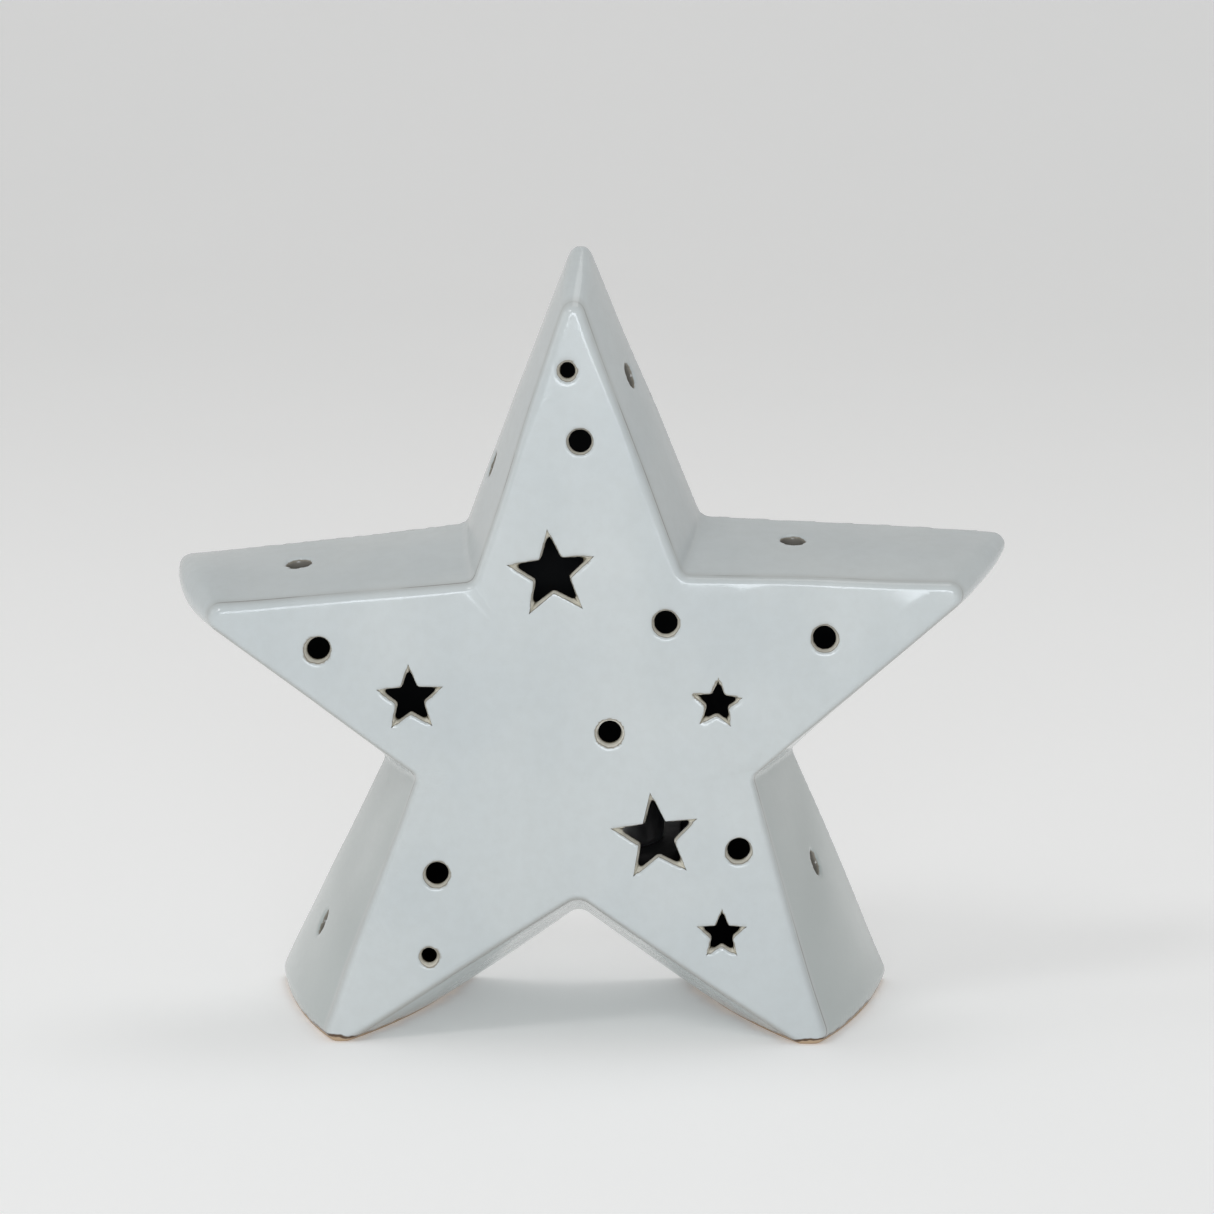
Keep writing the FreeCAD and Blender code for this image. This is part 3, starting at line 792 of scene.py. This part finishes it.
def braided_wick(cotton):
    """Three waxed strands twisted round each other."""
    curve = bpy.data.curves.new("braided_wick", "CURVE")
    curve.dimensions = "3D"
    curve.bevel_depth = 0.42 * MM
    curve.bevel_resolution = 4
    curve.use_fill_caps = True
    steps = 70
    for strand in range(3):
        spline = curve.splines.new("POLY")
        spline.points.add(steps)
        for step in range(steps + 1):
            share = step / steps
            angle = 2 * math.pi * (strand / 3 + 5.5 * share)
            at = wick_line(share) + Vector((math.cos(angle), math.sin(angle), 0)) * 0.40 * MM
            spline.points[step].co = (*at, 1)
            spline.points[step].radius = 1.0 if share < 0.96 else 0.7
    thing = new_object("braided_wick_curve", curve)
    graph = bpy.context.evaluated_depsgraph_get()
    mesh = bpy.data.meshes.new_from_object(thing.evaluated_get(graph))
    bpy.data.objects.remove(thing)
    shade_smooth(mesh)
    wick = new_object("braided_wick", mesh)
    mesh.materials.clear()
    mesh.materials.append(cotton)
    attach(wick, "tealight")
    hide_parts("tealight_wick")


def dress_sustainer(tin):
    """The sustainer is sealed in the wax, so its CAD solid only gets its metal."""
    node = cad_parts["wick_sustainer"]
    node.data.materials.clear()
    node.data.materials.append(tin)


# ---------------------------------------------------------------- the shelf

def shelf_tile(clay):
    """The level tile inside, with softened edges and a slightly torn surface."""
    tile = welded_copy("tealight_shelf")
    tile.name = "shelf_tile"
    with_modifier(tile, "REMESH", mode="VOXEL", voxel_size=0.5 * MM, use_smooth_shade=True)
    mesh = tile.data
    edges = read(mesh.edges, "vertices", 2, np.int32)
    low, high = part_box("tealight_shelf")
    soft = smoothed(points_of(mesh), edges, 4)
    set_points(mesh, np.clip(soft, np.array(low), np.array(high)))
    shade_smooth(mesh)
    mesh.materials.clear()
    mesh.materials.append(clay)
    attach(tile, "holder")
    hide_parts("tealight_shelf")


# ---------------------------------------------------------------- stage, light and camera

CAMERA_AT = (0.0272, -1.0198, 0.2568)
CAMERA_AIM = (0.0050, -0.0354, 0.1101)
CAMERA_LENS = 120.4             # on a 36 mm sensor
FLOOR_HALF = 7.0
FLOOR_FRONT = 5.0
SWEEP_START = 2.6               # the floor is flat this far behind the star
SWEEP_ROUND = 2.0
WALL_HEIGHT = 5.0
SWEEP_GLOW = 0.16


def camera():
    data = bpy.data.cameras.new("camera")
    data.lens = CAMERA_LENS
    data.sensor_width = 36
    thing = bpy.data.objects.new("camera", data)
    bpy.context.scene.collection.objects.link(thing)
    thing.location = CAMERA_AT
    aim = Vector(CAMERA_AIM) - Vector(CAMERA_AT)
    thing.rotation_euler = aim.to_track_quat("-Z", "Y").to_euler()
    bpy.context.scene.camera = thing


def studio_sweep():
    """A pale floor that curves up behind into a pale wall."""
    steps = 16
    profile = [(-FLOOR_FRONT, 0.0), (SWEEP_START, 0.0)]
    for step in range(1, steps + 1):
        angle = math.pi / 2 * step / steps
        profile.append((SWEEP_START + SWEEP_ROUND * math.sin(angle), SWEEP_ROUND * (1 - math.cos(angle))))
    profile.append((SWEEP_START + SWEEP_ROUND, WALL_HEIGHT))
    points = [(side * FLOOR_HALF, y, z) for y, z in profile for side in (-1, 1)]
    faces = [(2 * row, 2 * row + 1, 2 * row + 3, 2 * row + 2) for row in range(len(profile) - 1)]
    mesh = bpy.data.meshes.new("studio_sweep")
    mesh.from_pydata(points, [], faces)
    shade_smooth(mesh)
    thing = new_object("studio_sweep", mesh)
    paint = Paint("studio_sweep")
    paint.set(Base_Color=paint.mix(paint.noise(300, 2), (0.92, 0.92, 0.92), (0.94, 0.94, 0.94)),
              Roughness=0.95)
    paint.shader.inputs["Emission Color"].default_value = (1, 1, 1, 1)
    paint.shader.inputs["Emission Strength"].default_value = SWEEP_GLOW
    mesh.materials.append(paint.material)


def softbox(name, at, aim, size, power, colour=(1, 1, 1)):
    data = bpy.data.lights.new(name, "AREA")
    data.shape = "RECTANGLE"
    data.size, data.size_y = size
    data.energy = power
    data.color = colour
    thing = bpy.data.objects.new(name, data)
    bpy.context.scene.collection.objects.link(thing)
    thing.location = at
    thing.rotation_euler = (Vector(aim) - Vector(at)).to_track_quat("-Z", "Y").to_euler()


def light():
    world = bpy.data.worlds.new("studio")
    bpy.context.scene.world = world
    world.use_nodes = True
    background = world.node_tree.nodes["Background"]
    background.inputs["Color"].default_value = (1.0, 1.0, 0.985, 1)
    background.inputs["Strength"].default_value = 0.42
    middle = (0, 0, 0.1)
    softbox("front_softbox", (0.1, -2.5, 0.45), middle, (1.2, 0.7), 17.5, (0.93, 1.0, 1.07))
    softbox("left_softbox", (-2.2, -0.3, 0.9), middle, (1.2, 1.2), 4)
    softbox("top_softbox", (0.3, 0.3, 1.8), middle, (0.8, 0.8), 3)
    softbox("key_softbox", (-0.9, -1.3, 1.6), middle, (0.5, 0.5), 6)
    bpy.context.scene.view_settings.view_transform = "Standard"


# ---------------------------------------------------------------- the whole scene

camera()
studio_sweep()
light()
ceramic_star(glaze_material())
# the shelf's near-black clay: partly soot, mostly painted shade so the holes read dark
shelf_tile(plain_material("shelf_clay", (0.014, 0.012, 0.011), (0.008, 0.0075, 0.007), 6, (0.85, 0.95),
                          bump=(0.9, 0.6, 0.3)))
foil_cup(plain_material("cup_foil", (0.50, 0.50, 0.51), (0.44, 0.44, 0.46), 5, (0.34, 0.44), 1.0,
                        bump=(2.4, 0.2, 0.06)))
wax_cake(wax_material())
braided_wick(plain_material("wick_cotton", (0.80, 0.76, 0.66), (0.70, 0.65, 0.55), 1.2, (0.6, 0.8),
                            bump=(0.25, 0.6, 0.08)))
dress_sustainer(plain_material("tinplate", (0.55, 0.55, 0.56), (0.48, 0.48, 0.50), 4, (0.3, 0.45), 1.0))
